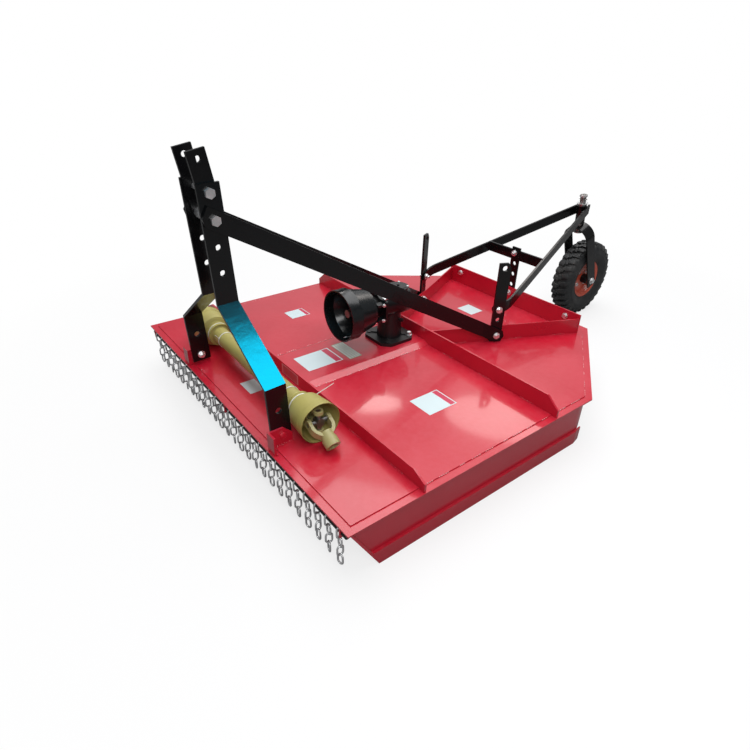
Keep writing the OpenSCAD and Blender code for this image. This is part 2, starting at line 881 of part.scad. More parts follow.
axle_l = fork_gap + 2 * fork_t + 2;
module wheel_axle() {
    color(zinc) on_ground()
        translate([0, wheel_y, tyre_r - deck_h]) {
            rod_x(axle_r, axle_l);
            for (s = [-1, 1])
                translate([s * (axle_l + 10) / 2, 0, 0])
                    rotate([0, 90, 0])
                        cylinder(r = 13, h = 10, center = true, $fn = 6);
        }
}

// Revolves a shape drawn in radius and X about the wheel's axle
module about_axle() {
    translate([0, wheel_y, tyre_r - deck_h])
        rotate([0, 90, 0])
            rotate_extrude($fn = 40)
                children();
}

hub_r = 24;
hub_half = fork_half - 3;
rim_half = 42;
module wheel_rim() {
    color("orangered") on_ground()
        about_axle()
            polygon([[axle_r + run_c, -hub_half], [hub_r, -hub_half], [hub_r, -14], [hub_r + 14, -8],
                [rim_r - 26, -10], [rim_r - 16, -rim_half + 8], [rim_r, -rim_half], [rim_r, -rim_half + 4],
                [rim_r - 10, -rim_half + 12], [rim_r - 16, 0], [rim_r - 10, rim_half - 12],
                [rim_r, rim_half - 4], [rim_r, rim_half], [rim_r - 16, rim_half - 8], [rim_r - 26, 10],
                [hub_r + 14, 8], [hub_r, 14], [hub_r, hub_half], [axle_r + run_c, hub_half]]);
}

module wheel_tyre() {
    w = tyre_w / 2;
    color("#202020") on_ground()
        about_axle()
            polygon([[rim_r + 0.5, -rim_half - 3], [rim_r + 22, -w + 2], [rim_r + 55, -w],
                [tyre_r - 14, -w + 5],
                [tyre_r - 2, -w + 16], [tyre_r, -w + 30], [tyre_r, w - 30], [tyre_r - 2, w - 16],
                [tyre_r - 14, w - 5], [rim_r + 55, w], [rim_r + 22, w - 2], [rim_r + 0.5, rim_half + 3],
                [rim_r + 0.5, rim_half - 4], [rim_r - 8, rim_half - 12], [rim_r - 8, -rim_half + 12],
                [rim_r + 0.5, -rim_half + 4]]);
}

// Gearbox: base flange, neck, barrel along Y and a domed cap
base_z = channel_h;
base_w = base_bolt_pitch + 2 * base_edge;
base_cut = 34;
neck_r = 50;
barrel_front = 117;
barrel_back = 80;
nose_r = 44;
shaft_step = 1.5;
// The bolting flange: how far behind the barrel's front it sits and its bolts' places
flange_in = 25;
flange_bolt_x = 71;
flange_bolt_z = 35;
flange_t = 12;
flange_corner = 14;
module flange_outline(grow) {
    hull()
        for (x = [-1, 1], z = [-1, 1])
            translate([x * flange_bolt_x, z * flange_bolt_z])
                circle(r = flange_corner + grow);
}
// Place of the cap and its turret against the output shaft
cap_dx = 8;
cap_r = 48;
cap_dy = 34;
module gearbox_housing() {
    b = base_w / 2;
    color(black) on_ground()
        translate([gear_x, gear_y, 0])
            difference() {
                union() {
                    translate([0, 0, base_z])
                        linear_extrude(base_t)
                            polygon([[-b, -b + base_cut], [-b + base_cut, -b], [b - base_cut, -b],
                                [b, -b + base_cut], [b, b - base_cut], [b - base_cut, b],
                                [-b + base_cut, b], [-b, b - base_cut]]);
                    translate([0, 0, base_z])
                        cylinder(r1 = neck_r + 8, r2 = neck_r - 4, h = input_z - base_z);
                    translate([cap_dx, cap_dy, input_z - 8])
                        cylinder(r = cap_r - 4, h = barrel_r + 8.5);
                    translate([0, (barrel_back - barrel_front + flange_in) / 2, input_z])
                        rod_y(barrel_r, barrel_front - flange_in + barrel_back);
                    translate([0, -barrel_front / 2, input_z])
                        rod_y(nose_r, barrel_front);
                    translate([0, flange_in - barrel_front + flange_t, input_z])
                        rotate([90, 0, 0])
                            linear_extrude(flange_t)
                                flange_outline(0);
                    for (a = [45 : 90 : 315])
                        rotate([0, 0, a])
                            translate([0, -3, base_z + base_t - 1])
                                rotate([90, 0, 90])
                                    linear_extrude(base_w * 0.5)
                                        polygon([[0, 0], [6, 0], [6, 6], [0, 6]]);
                }
                for (x = [-1, 1], y = [-1, 1])
                    translate([x * base_bolt_pitch / 2, y * base_bolt_pitch / 2, base_z - 1])
                        cylinder(r = 7, h = base_t + 20);
                translate([0, -barrel_front - 1, input_z])
                    rod_y(shaft_r - shaft_step + run_c, 2 * (barrel_front - 40));
                translate([0, 0, base_z - 1])
                    cylinder(r = shaft_r + run_c, h = 60);
            }
}

module gearbox_cap() {
    color(black) on_ground()
        translate([gear_x + cap_dx, gear_y + cap_dy, input_z + barrel_r + 0.5]) {
            cylinder(r = cap_r, h = 6);
            translate([0, 0, 6])
                cylinder(r1 = cap_r - 9, r2 = cap_r - 11, h = 2);
        }
}

input_reach = 118;
input_in = 38;
module input_shaft() {
    color(zinc) on_ground()
        translate([gear_x, gear_y - barrel_front, input_z]) {
            translate([0, -input_reach / 2, 0])
                rod_y(shaft_r, input_reach);
            translate([0, input_in / 2 - 1, 0])
                rod_y(shaft_r - shaft_step, input_in + 2);
        }
}

// The guard bell sits before the barrel and is held at the flange by four tabs; it opens towards the linkage
bell_mount_r = barrel_r + 1;
bell_band = 50;
bell_gap = 0.3;
tab_t = 10;
module input_guard() {
    tab_l = flange_in + 14;
    color(black) on_ground()
        translate([gear_x, gear_y - barrel_front, input_z])
            difference() {
                union() {
                    translate([0, -bell_gap, 0])
                        rotate([90, 0, 0])
                            rotate_extrude($fn = 48)
                                polygon([[nose_r - 8, 0], [bell_mount_r - 1, 0], [bell_mount_r, 30],
                                    [bell_r - 9, bell_l - bell_band - 6], [bell_r - 2, bell_l - bell_band],
                                    [bell_r, bell_l], [bell_r - bell_wall, bell_l],
                                    [bell_r - bell_wall - 2, bell_l - bell_band + 4],
                                    [bell_mount_r - bell_wall, 31], [bell_mount_r - bell_wall - 1, bell_wall],
                                    [nose_r - 8, bell_wall]]);
                    for (x = [-1, 1], z = [-1, 1])
                        translate([x * (flange_bolt_x - 4), flange_in - tab_l / 2 - bell_gap,
                            z * flange_bolt_z])
                            cube([30, tab_l, tab_t], center = true);
                }
                translate([0, -tab_l, 0])
                    rod_y(bell_mount_r - bell_wall, 2 * tab_l - 2 * bell_wall - 2);
            }
}

// Rotor: output shaft, its hub and the bar that carries the two blades
blade_gap = 8;
pin_r = 14;
carrier_w = 92;
carrier_hub_r = 44;
carrier_hub_h = 60;
nut_r = 26;
nut_h = 24;
head_t = 10;
module rotor() {
    color(black) on_ground()
        translate([gear_x, gear_y, 0]) {
            translate([0, 0, -carrier_drop - carrier_t])
                difference() {
                    union() {
                        slab_rounded(2 * blade_pin_r, carrier_w, carrier_t);
                        cylinder(r = carrier_hub_r, h = carrier_hub_h);
                    }
                    for (s = [-1, 1])
                        translate([s * blade_pin_r, 0, -1])
                            cylinder(r = pin_r - 2, h = carrier_t + 2);
                }
            translate([0, 0, -carrier_drop])
                cylinder(r = shaft_r, h = carrier_drop + base_z + 40);
            translate([0, 0, -carrier_drop - carrier_t - nut_h])
                cylinder(r = nut_r, h = nut_h + 1, $fn = 6);
            for (s = [-1, 1])
                translate([s * blade_pin_r, 0, -carrier_drop - carrier_t - blade_gap - blade_t - 14]) {
                    cylinder(r = pin_r, h = blade_t + blade_gap + 14.5);
                    cylinder(r = 22, h = 10);
                }
        }
}

// A bar with round ends, l between the centres of the ends
module slab_rounded(l, w, t) {
    translate([-l / 2, -w / 2, 0])
        cube([l, w, t]);
    for (s = [-1, 1])
        translate([s * l / 2, 0, 0])
            cylinder(r = w / 2, h = t);
}

module blade(s) {
    w = blade_w / 2;
    color("dimgray") on_ground()
        translate([gear_x, gear_y, -carrier_drop - carrier_t - blade_gap + 2 - blade_t])
            rotate([0, 0, s > 0 ? 0 : 180])
                translate([blade_pin_r, 0, 0])
                    difference() {
                        union() {
                            cylinder(r = w, h = blade_t);
                            linear_extrude(blade_t)
                                polygon([[0, -w], [blade_l - 40, -w], [blade_l, -w + 14], [blade_l, w - 4],
                                    [blade_l - 6, w], [0, w]]);
                        }
                        translate([0, 0, -1])
                            cylinder(r = pin_r + run_c, h = blade_t + 2);
                        translate([blade_l * 0.45, -w, 4])
                            rotate([-30, 0, 0])
                                translate([0, -40, 0])
                                    cube([blade_l, 40, 30]);
                    }
}

module blade_left() { blade(1); }
module blade_right() { blade(-1); }

// Drive shaft that lies across the deck behind the hitch legs, on its guard cones
pto_z = cone_r + 0.3;
module along_shaft(x) {
    translate([x, pto_y, pto_z])
        rotate([0, 90, 0])
            children();
}

// A guard half: a tube with a collar and a cone at its mouth, pointing along +Z
shoulder_r = cone_r - 8;
module guard_half(l, r) {
    neck = l - cone_l;
    rotate_extrude($fn = 40)
        polygon([[r, 0], [r, neck - collar_l], [collar_r, neck - collar_l + 6], [collar_r, neck - 4],
            [shoulder_r - 10, neck], [shoulder_r - 2, neck + 4], [shoulder_r, neck + 12], [cone_r, l],
            [cone_r - guard_wall, l], [shoulder_r - guard_wall, neck + 13],
            [shoulder_r - 4 - guard_wall, neck + 7], [collar_r - guard_wall, neck + 4],
            [collar_r - guard_wall, neck - collar_l + 8],
            [r - guard_wall, neck - collar_l + 2], [r - guard_wall, 0]]);
}

tube_overlap_x = -120;
far_tube_end_x = 60;
far_tube_r = near_tube_r - guard_wall - run_c;
module pto_near_guard() {
    color(olive) on_ground()
        along_shaft(tube_overlap_x)
            guard_half(near_mouth_x - tube_overlap_x, near_tube_r);
}

module pto_far_guard() {
    color(olive) on_ground()
        mirror([1, 0, 0])
            along_shaft(-far_tube_end_x)
                guard_half(far_tube_end_x - far_mouth_x, far_tube_r);
}

// A yoke: a round U with an eye on each arm and a stepped hub; the hub points towards -Z
eye_r = 17;
u_drop = 20;
seat_in = 6;
module yoke(l, hub) {
    in_r = yoke_gap / 2;
    out_r = in_r + yoke_t;
    difference() {
        union() {
            for (s = [-1, 1])
                translate([s * (in_r + yoke_t / 2), 0, 0])
                    rod_x(eye_r, yoke_t);
            slab_y(2 * eye_r - 4)
                difference() {
                    union() {
                        translate([-out_r, -u_drop])
                            square([2 * out_r, u_drop]);
                        translate([0, -u_drop])
                            circle(r = out_r);
                    }
                    translate([-in_r, -u_drop])
                        square([2 * in_r, u_drop + out_r]);
                    translate([0, -u_drop])
                        circle(r = in_r);
                }
            translate([0, 0, -l])
                cylinder(r = hub, h = l - u_drop - in_r + seat_in);
        }
        rod_x(9 + run_c, 200);
        translate([0, 0, -l - 1])
            cylinder(r = shaft_r + 0.3, h = l - in_r + 1);
    }
}

module cross_piece() {
    rod_x(9, yoke_gap + 2 * yoke_t - 2);
    rod_y(9, yoke_gap + 2 * yoke_t - 2);
    cylinder(r = 16, h = 26, center = true);
}

joint_depth = 14;
near_joint_x = near_mouth_x - joint_depth;
far_joint_x = far_mouth_x + joint_depth;
tube_yoke_l = 150;
ring_z = cone_l - joint_depth + 10;
ring_l = 15;
module tube_yoke() {
    yoke(tube_yoke_l, 22);
    translate([0, 0, -ring_z - ring_l])
        difference() {
            cylinder(r = collar_r - guard_wall - 0.3, h = ring_l);
            translate([0, 0, -1])
                cylinder(r = 21, h = ring_l + 2);
        }
}

// The shaft halves inside the guards end in yokes whose arms stand up and down
module pto_near_shaft() {
    color(olive) on_ground()
        along_shaft(near_joint_x)
            tube_yoke();
}

module pto_far_shaft() {
    color(olive) on_ground()
        mirror([1, 0, 0])
            along_shaft(-far_joint_x)
                tube_yoke();
}

module pto_near_cross() {
    color(zinc) on_ground()
        along_shaft(near_joint_x)
            cross_piece();
}

module pto_far_cross() {
    color(zinc) on_ground()
        mirror([1, 0, 0])
            along_shaft(-far_joint_x)
                cross_piece();
}

// The free yokes hang down on the deck, with their arms level
hub_step = 3;
collar_end = 30;
module free_yoke() {
    rotate([0, yoke_droop, 0])
        rotate([180, 0, 90]) {
            yoke(yoke_l, yoke_hub_r - hub_step);
            translate([0, 0, -yoke_l])
                difference() {
                    cylinder(r = yoke_hub_r, h = collar_end);
                    translate([0, 0, -1])
                        cylinder(r = yoke_hub_r - hub_step - 1, h = collar_end + 2);
                }
        }
}

module pto_near_yoke() {
    color(olive) on_ground()
        along_shaft(near_joint_x)
            free_yoke();
}

module pto_far_yoke() {
    color(olive) on_ground()
        mirror([1, 0, 0])
            along_shaft(-far_joint_x)
                free_yoke();
}

deck_plate();
deck_rim();
front_rib();
rear_rib();
gearbox_channel();
skirt_left();
skirt_right();
skid_left();
skid_right();
rod_lugs();
front_chains();
rear_chains();
hitch_lugs();
hitch_leg_left();
hitch_leg_right();
top_link_ears();
mast_bolts();
brace_left();
brace_right();
uprights();
rear_frame();
tail_arms();
tail_cross_bar();
setting_strap();
caster_sleeve();
caster_spindle();
caster_fork();
wheel_axle();
wheel_rim();
wheel_tyre();
gearbox_housing();
gearbox_cap();
input_shaft();
input_guard();
rotor();
blade_left();
blade_right();
pto_near_guard();
pto_far_guard();
pto_near_shaft();
pto_far_shaft();
pto_near_cross();
pto_far_cross();
pto_near_yoke();
pto_far_yoke();
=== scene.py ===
"""Looks of a rotary slasher mower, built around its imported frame."""
import json
from math import atan2, cos, pi, radians, sin, sqrt

import bmesh
import bpy
from mathutils import Matrix, Vector


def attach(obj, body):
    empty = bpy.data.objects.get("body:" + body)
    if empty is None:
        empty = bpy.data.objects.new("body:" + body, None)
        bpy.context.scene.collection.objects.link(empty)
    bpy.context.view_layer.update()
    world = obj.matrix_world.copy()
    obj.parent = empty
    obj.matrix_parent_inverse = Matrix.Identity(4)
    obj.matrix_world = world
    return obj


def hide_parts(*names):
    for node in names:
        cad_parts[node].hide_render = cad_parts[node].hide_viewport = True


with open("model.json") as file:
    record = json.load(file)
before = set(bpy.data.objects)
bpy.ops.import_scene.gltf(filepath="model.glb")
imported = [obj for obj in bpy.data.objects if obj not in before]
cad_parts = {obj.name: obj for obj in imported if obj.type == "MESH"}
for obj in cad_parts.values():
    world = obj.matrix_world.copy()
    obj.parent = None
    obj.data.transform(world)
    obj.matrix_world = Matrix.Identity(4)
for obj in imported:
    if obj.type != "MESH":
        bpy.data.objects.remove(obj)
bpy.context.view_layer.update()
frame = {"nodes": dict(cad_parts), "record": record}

# Places are given as on the drawing: millimetres from the deck's front edge and top face
MID_Y = 1234.31
DECK_H = 214.0


def at(x, y, z):
    return Vector((x / 1000, (y - MID_Y) / 1000, (z + DECK_H) / 1000))


def mm(value):
    return value / 1000


# Shader maths: a wire is a socket that can be added, multiplied and compared
class Wire:
    def __init__(self, shop, socket):
        self.shop = shop
        self.socket = socket

    def maths(self, operation, first, second):
        made = self.shop.node("ShaderNodeMath", {"operation": operation}, {0: first, 1: second})
        return made["Value"]

    def __add__(self, other):
        return self.maths("ADD", self, other)

    __radd__ = __add__

    def __mul__(self, other):
        return self.maths("MULTIPLY", self, other)

    __rmul__ = __mul__

    def __sub__(self, other):
        return self.maths("SUBTRACT", self, other)

    def __rsub__(self, other):
        return self.maths("SUBTRACT", other, self)

    def __gt__(self, other):
        return self.maths("GREATER_THAN", self, other)

    def __lt__(self, other):
        return self.maths("LESS_THAN", self, other)

    def clamp(self):
        return self.maths("MAXIMUM", self.maths("MINIMUM", self, 1.0), 0.0)


class Finish:
    """One material and the nodes that make it."""

    def __init__(self, name):
        self.material = bpy.data.materials.new(name)
        self.material.use_nodes = True
        self.tree = self.material.node_tree
        self.tree.nodes.clear()

    def node(self, kind, settings=None, sockets=None):
        made = self.tree.nodes.new(kind)
        for key, value in (settings or {}).items():
            if key == "stops":
                while len(made.color_ramp.elements) < len(value):
                    made.color_ramp.elements.new(0.5)
                for element, (place, colour) in zip(made.color_ramp.elements, value):
                    element.position = place
                    element.color = colour
            else:
                setattr(made, key, value)
        for key, value in (sockets or {}).items():
            if isinstance(value, Wire):
                self.tree.links.new(value.socket, made.inputs[key])
            else:
                made.inputs[key].default_value = value
        return {out.name: Wire(self, out) for out in made.outputs if out.enabled}

    def noise(self, scale, detail=4.0, roughness=0.55, stretch=(1, 1, 1)):
        where = self.node("ShaderNodeTexCoord")["Object"]
        if stretch != (1, 1, 1):
            where = self.node("ShaderNodeMapping", None, {"Vector": where, "Scale": stretch})["Vector"]
        made = self.node("ShaderNodeTexNoise", None,
                         {"Vector": where, "Scale": scale, "Detail": detail, "Roughness": roughness})
        return made.get("Factor") or made["Fac"]

    def step(self, value, low, high):
        """Goes from 0 to 1 as value goes from low to high."""
        made = self.node("ShaderNodeMapRange", {"clamp": True},
                         {"Value": value, "From Min": low, "From Max": high, "To Min": 0.0, "To Max": 1.0})
        return made["Result"]

    def blend(self, factor, first, second):
        made = self.node("ShaderNodeMix", {"data_type": "RGBA"}, {0: factor, 6: first, 7: second})
        return made["Result"]

    def up_facing(self):
        normal = self.node("ShaderNodeNewGeometry")["Normal"]
        return self.node("ShaderNodeSeparateXYZ", None, {0: normal})["Z"]

    def bump(self, height, strength, distance):
        return self.node("ShaderNodeBump", None,
                         {"Height": height, "Strength": strength, "Distance": distance})["Normal"]

    def shader(self, sockets):
        made = self.node("ShaderNodeBsdfPrincipled", None, sockets)
        self.node("ShaderNodeOutputMaterial", None, {"Surface": made["BSDF"]})
        return self.material


def rgb(red, green, blue):
    return (red, green, blue, 1.0)


def paint(name, base, dark, rough, coat, dust_and_sheen=0.12, dust_and_sheen_colour=rgb(0.42, 0.36, 0.33), shine=0.5):
    """Sprayed enamel: slightly uneven, with small scuffs and a second colour on faces that look up; by default that
    colour is dust, and the red paint and the weld paint give it light pinks that are painted sheen.
    """
    f = Finish(name)
    patches = f.noise(3.1, 5.0)
    fine = f.noise(46.0, 3.0)
    scuff = f.step(f.noise(18.0, 6.0, 0.7, (1, 4, 1)), 0.66, 0.74)
    colour = f.blend(f.step(patches, 0.3, 0.75), dark, base)
    # Faces that look up take the second colour in patches: dust, and with a light pink colour a painted sheen of the
    # light from above.
    dust_and_sheen_mask = f.step(f.up_facing(), 0.5, 1.0) * f.step(patches * 0.6 + fine * 0.4, 0.42, 0.72) * dust_and_sheen
    colour = f.blend(dust_and_sheen_mask, colour, dust_and_sheen_colour)
    return f.shader({
        "Base Color": colour,
        "Roughness": patches * 0.1 + scuff * 0.12 + dust_and_sheen_mask * 0.6 + rough,
        "Coat Weight": coat,
        "Coat Roughness": 0.08,
        "Specular IOR Level": shine,
        "Normal": f.bump(patches + fine * 0.05, 0.4, 0.008),
    })


def metal(name, base, dark, rough, bump=0.1, scale=60.0, grime=0.5):
    f = Finish(name)
    patches = f.noise(11.0, 6.0)
    fine = f.noise(scale, 4.0)
    worn = f.step(patches, 0.45, 0.7)
    return f.shader({
        "Base Color": f.blend(worn * grime, base, dark),
        "Metallic": 1.0 - worn * (grime * 0.5),
        "Roughness": fine * 0.2 + worn * 0.2 + rough,
        "Normal": f.bump(fine, bump, 0.001),
    })


def plastic(name, base, dark, rough, dirt=0.3):
    f = Finish(name)
    patches = f.noise(7.0, 6.0)
    fine = f.noise(90.0, 3.0)
    grime = f.step(patches, 0.5, 0.78)
    return f.shader({
        "Base Color": f.blend(grime * dirt, base, dark),
        "Roughness": fine * 0.12 + grime * 0.15 + rough,
        "Normal": f.bump(fine, 0.12, 0.001),
    })


def rubber(name):
    f = Finish(name)
    patches = f.noise(9.0, 5.0)
    fine = f.noise(120.0, 3.0)
    dusty = f.step(patches, 0.45, 0.8)
    return f.shader({
        "Base Color": f.blend(dusty, rgb(0.018, 0.019, 0.02), rgb(0.06, 0.058, 0.055)),
        "Roughness": dusty * 0.15 + fine * 0.1 + 0.5,
        "Normal": f.bump(fine, 0.25, 0.001),
    })


def ruled_plate(name, ground, line, rows, columns, border, header=0.0):
    """A printed plate without words: a border, a header bar and plain rules, on the plate's own map."""
    f = Finish(name)
    spot = f.node("ShaderNodeSeparateXYZ", None, {0: f.node("ShaderNodeTexCoord")["UV"]})
    u, v = spot["X"], spot["Y"]
    rules = (u < border) + (u > 1 - border) + (v < border) + (v > 1 - border)
    if header:
        rules = (v > 0.97 - header) * (v < 0.97) * (u > 0.03) * (u < 0.97)
    for count, way in ((rows, v), (columns, u)):
        if count:
            wave = f.node("ShaderNodeMath", {"operation": "FRACT"}, {0: way * float(count)})["Value"]
            rules = rules + (wave < 0.22)
    fade = f.noise(30.0, 3.0)
    return f.shader({
        "Base Color": f.blend(rules.clamp(), f.blend(fade * 0.25, ground, rgb(0.55, 0.6, 0.6)), line),
        "Roughness": fade * 0.1 + 0.3,
    })


RED = rgb(0.58, 0.008, 0.03)
DARK_RED = rgb(0.5, 0.006, 0.024)
# Its pink second colour on up-facing faces is partly dust and partly painted sheen, lightening the lit tops.
red_paint = paint("red_paint", RED, DARK_RED, 0.24, 0.6, 0.16, rgb(0.7, 0.16, 0.2))
# Pale pink paint for the thin edge welds: painted highlight of light caught on the bead tops.
weld_painted_highlight = paint("weld_painted_highlight", rgb(0.85, 0.55, 0.55), rgb(0.75, 0.25, 0.28), 0.3, 0.3, 0.5, rgb(0.85, 0.7, 0.7))
black_paint = paint("black_paint", rgb(0.005, 0.005, 0.006), rgb(0.003, 0.003, 0.003), 0.16, 0.1, 0.02,
                    shine=0.3)
casting_black = paint("casting_black", rgb(0.007, 0.007, 0.008), rgb(0.004, 0.004, 0.005), 0.3, 0.1, 0.04,
                      shine=0.4)
bell_plastic = plastic("bell_plastic", rgb(0.006, 0.008, 0.009), rgb(0.015, 0.016, 0.016), 0.17, 0.2)
guard_plastic = plastic("guard_plastic", rgb(0.43, 0.38, 0.115), rgb(0.27, 0.22, 0.08), 0.34, 0.45)
yoke_paint = paint("yoke_paint", rgb(0.47, 0.43, 0.19), rgb(0.36, 0.32, 0.13), 0.34, 0.1, 0.1)
zinc_plate = metal("zinc_plate", rgb(0.86, 0.87, 0.88), rgb(0.5, 0.5, 0.49), 0.26, 0.06, grime=0.35)
bare_steel = metal("bare_steel", rgb(0.3, 0.29, 0.28), rgb(0.13, 0.09, 0.07), 0.32, 0.2)
rim_paint = paint("rim_paint", rgb(0.66, 0.11, 0.055), rgb(0.54, 0.07, 0.035), 0.26, 0.4, 0.2)
tyre_rubber = rubber("tyre_rubber")
white_plate = ruled_plate("white_plate", rgb(0.62, 0.74, 0.77), rgb(0.55, 0.03, 0.08), 0, 0, 0.0, 0.17)
plain_plate = ruled_plate("plain_plate", rgb(0.62, 0.7, 0.72), rgb(0.5, 0.5, 0.52), 0, 0, 0.02)
grid_plate = ruled_plate("grid_plate", rgb(0.72, 0.76, 0.74), rgb(0.3, 0.3, 0.2), 5, 14, 0.03)
cap_plate = plastic("cap_plate", rgb(0.86, 0.87, 0.87), rgb(0.6, 0.6, 0.6), 0.3, 0.2)
tag_plate = ruled_plate("tag_plate", rgb(0.5, 0.012, 0.03), rgb(0.66, 0.3, 0.3), 0, 0, 0.06)
tie_nylon = plastic("tie_nylon", rgb(0.75, 0.75, 0.7), rgb(0.5, 0.48, 0.4), 0.35)

SLOT_FINISH = {
    "red_paint": red_paint, "black_paint": black_paint, "zinc_plate": zinc_plate,
    "casting_black": casting_black, "guard_plastic": guard_plastic, "yoke_paint": yoke_paint,
    "bare_steel": bare_steel, "bell_plastic": bell_plastic, "rim_paint": rim_paint, "tyre": tyre_rubber,
}
node_slot = {part["node"]: part["material_slot"] for part in frame["record"]["subparts"]}
for name, obj in frame["nodes"].items():
    for holder in obj.material_slots:
        holder.material = SLOT_FINISH[node_slot[name]]
for holder in frame["nodes"]["input_shaft"].material_slots:
    holder.material = bare_steel


# Modelling helpers
def piece(name, bm, body, finish, smooth=40):
    bmesh.ops.recalc_face_normals(bm, faces=bm.faces)
    mesh = bpy.data.meshes.new(name)
    bm.to_mesh(mesh)
    bm.free()
    obj = bpy.data.objects.new(name, mesh)
    bpy.context.scene.collection.objects.link(obj)
    mesh.materials.append(finish)
    mesh.shade_smooth()
    mesh.set_sharp_from_angle(angle=radians(smooth))
    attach(obj, body)
    return obj


def move(bm, verts, matrix):
    bmesh.ops.transform(bm, matrix=matrix, verts=verts)


def axis_turn(way):
    """Turns +Z to the given direction."""
    return Vector(way).to_track_quat("Z", "Y").to_matrix().to_4x4()


def rod(bm, start, end, radius, sides=16, top=None):
    way = end - start
    made = bmesh.ops.create_cone(bm, cap_ends=True, segments=sides, radius1=radius,
                                 radius2=radius if top is None else top, depth=way.length)["verts"]
    move(bm, made, Matrix.Translation((start + end) / 2) @ axis_turn(way))
    return made


def block(bm, centre, size, turn=None, bevel=0.0):
    made = bmesh.ops.create_cube(bm, size=1.0)["verts"]
    move(bm, made, Matrix.Diagonal((size[0], size[1], size[2], 1)))
    if bevel:
        edges = list({e for v in made for e in v.link_edges})
        rounded = bmesh.ops.bevel(bm, geom=edges, offset=bevel, segments=2, profile=0.5, affect="EDGES",
                                  material=-1)
        made = list({v for f in rounded["faces"] for v in f.verts} | {v for v in made if v.is_valid})
    move(bm, made, Matrix.Translation(centre) @ (turn or Matrix()))
    return made


def bolt(bm, place, way, radius=15.0, height=10.0, washer=19.0, stub=0.0):
    """A hexagon head on a washer; a stub makes it a nut with the thread's end standing out."""
    way = Vector(way).normalized()
    if washer:
        rod(bm, place, place + way * mm(2.5), mm(washer), 24)
        place = place + way * mm(2.5)
    top = place + way * mm(height)
    rod(bm, place, place + way * mm(height * 0.8), mm(radius), 6)
    rod(bm, place + way * mm(height * 0.8), top, mm(radius), 6, mm(radius * 0.82))
    if stub:
        rod(bm, top, top + way * mm(stub), mm(radius * 0.55), 12, mm(radius * 0.48))


def ring(bm, centre, way, profile, sides=48):
    """Revolves closed profile points, given as radius and height in millimetres, about an axis."""
    verts = [bm.verts.new((mm(r), 0, mm(h))) for r, h in profile]
    loop = [bm.edges.new((a, b)) for a, b in zip(verts, verts[1:] + verts[:1])]
    spun = bmesh.ops.spin(bm, geom=verts + loop, cent=(0, 0, 0), axis=(0, 0, 1), dvec=(0, 0, 0),
                          angle=2 * pi, steps=sides, use_merge=True)
    del spun
    done = [v for v in bm.verts if v.tag is False]
    move(bm, done, Matrix.Translation(centre) @ axis_turn(way))
    for v in done:
        v.tag = True


def mark_done(bm):
    for v in bm.verts:
        v.tag = True


# Chains: bent wire rings hooked through one another, under a rod each
LINK_L = 44.0
LINK_W = 27.0
WIRE = 6.4
ROD_R = 10.0


def wire_link(length, width, wire):
    """A stadium of round wire in the XZ plane, made from a section that is pulled and spun."""
    bm = bmesh.new()
    bend = mm((width - wire) / 2)
    half = mm((length - wire) / 2) - bend
    section = bmesh.ops.create_circle(bm, cap_ends=False, segments=8, radius=mm(wire / 2))["verts"]
    move(bm, section, Matrix.Translation((bend, 0, -half)))
    edges = list({e for v in section for e in v.link_edges})
    for side in (1, -1):
        pulled = bmesh.ops.extrude_edge_only(bm, edges=edges)["geom"]
        verts = [g for g in pulled if isinstance(g, bmesh.types.BMVert)]
        edges = [g for g in pulled if isinstance(g, bmesh.types.BMEdge)]
        bmesh.ops.translate(bm, verts=verts, vec=(0, 0, side * 2 * half))
        spun = bmesh.ops.spin(bm, geom=verts + edges, cent=(0, 0, side * half), axis=(0, -1, 0),
                              dvec=(0, 0, 0), angle=pi, steps=8, use_merge=False)["geom_last"]
        edges = [g for g in spun if isinstance(g, bmesh.types.BMEdge)]
    bmesh.ops.remove_doubles(bm, verts=bm.verts, dist=0.00005)
    mesh = bpy.data.meshes.new("one_link")
    bm.to_mesh(mesh)
    bm.free()
    return mesh


def hang(bm, mesh, matrix):
    before = len(bm.verts)
    bm.from_mesh(mesh)
    bm.verts.ensure_lookup_table()
    move(bm, bm.verts[before:], matrix)


def chain_curtain(name, y, half_length, count):
    first = wire_link(LINK_L + 8, LINK_W + 4, WIRE)
    link = wire_link(LINK_L, LINK_W, WIRE)
    bm = bmesh.new()
    z = -30.0
    for k in range(count):
        x = (k - (count - 1) / 2) * 60.0
        sway = sin(k * 2.3) * 0.1
        hook_mid = z + ROD_R + WIRE / 2 - (LINK_L + 8) / 2
        hang(bm, first, Matrix.Translation(at(x, y, hook_mid)) @ Matrix.Rotation(pi / 2 + sway, 4, "Z"))
        low = hook_mid - (LINK_L + 8) / 2
        for n in range(3):
            low += WIRE
            middle = low - LINK_L / 2 + WIRE * 0.1
            turn = (n % 2 == 0) * pi / 2 + pi / 2 + sin(k * 1.7 + n) * 0.22 + sway
            hang(bm, link, Matrix.Translation(at(x, y, middle)) @ Matrix.Rotation(turn, 4, "Z"))
            low = middle - LINK_L / 2
    curtain = piece(name + "_links", bm, "frame", zinc_plate, 60)
    bm = bmesh.new()
    rod(bm, at(-half_length, y, z), at(half_length, y, z), mm(ROD_R), 20)
    bar = piece(name + "_rod", bm, "frame", black_paint)
    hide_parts(name)
    return curtain, bar


chain_curtain("front_chains", 14.0, 789.0, 26)
chain_curtain("rear_chains", 1695.0, 400.0, 13)

# Tyre: a carcass with a rounded shoulder, two rows of staggered bars and a zigzag middle rib
WHEEL = at(0, 2276, 3)
TYRE_R = 217.0
TYRE_HALF = 59.5
RIM_R = 108.0
LUG_DEPTH = 12.0


def wheel_turn(angle):
    return Matrix.Translation(WHEEL) @ Matrix.Rotation(angle, 4, "X")


